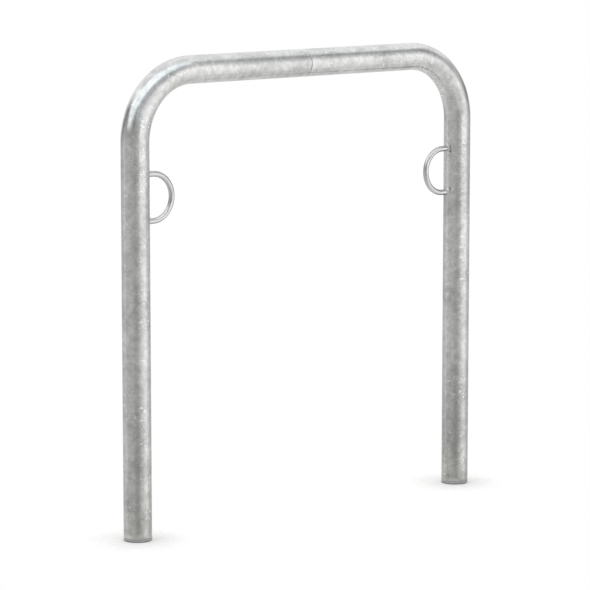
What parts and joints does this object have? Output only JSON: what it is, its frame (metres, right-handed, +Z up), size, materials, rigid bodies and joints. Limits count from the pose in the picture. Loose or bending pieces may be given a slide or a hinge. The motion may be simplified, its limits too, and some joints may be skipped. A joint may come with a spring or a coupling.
{
  "type": "hoop bike rack",
  "caption": "Galvanised round-tube hoop with rounded corners and a half ring for a lock on the inner side of each post; bicycles lean on it and are chained to it.",
  "frame": {"origin": "on the ground midway between the two posts, in the hoop's own plane", "axes": "+Z up, +X along the hoop from the left post to the right post, +Y across the hoop, away from the side that the picture shows"},
  "size_m": [0.9844, 0.0602, 1.02],
  "materials": {
    "galvanised_tube": "hot-dip galvanised, fine spangle, satin",
    "galvanised_bar": "hot-dip galvanised, smooth, bright",
    "galvanised_weld": "hot-dip galvanised over a weld bead",
    "sleeve_steel": "plain rolled steel",
    "foot_plastic": "grey moulded polyethylene"
  },
  "bodies": {
    "root": {"left_half_hoop": "galvanised_tube", "right_half_hoop": "galvanised_tube", "joint_sleeve": "sleeve_steel", "joint_weld": "galvanised_weld", "left_locking_ring": "galvanised_bar", "right_locking_ring": "galvanised_bar", "left_ring_upper_weld": "galvanised_weld", "left_ring_lower_weld": "galvanised_weld", "right_ring_upper_weld": "galvanised_weld", "right_ring_lower_weld": "galvanised_weld", "left_foot_plug": "foot_plastic", "right_foot_plug": "foot_plastic"}
  },
  "joints": []
}
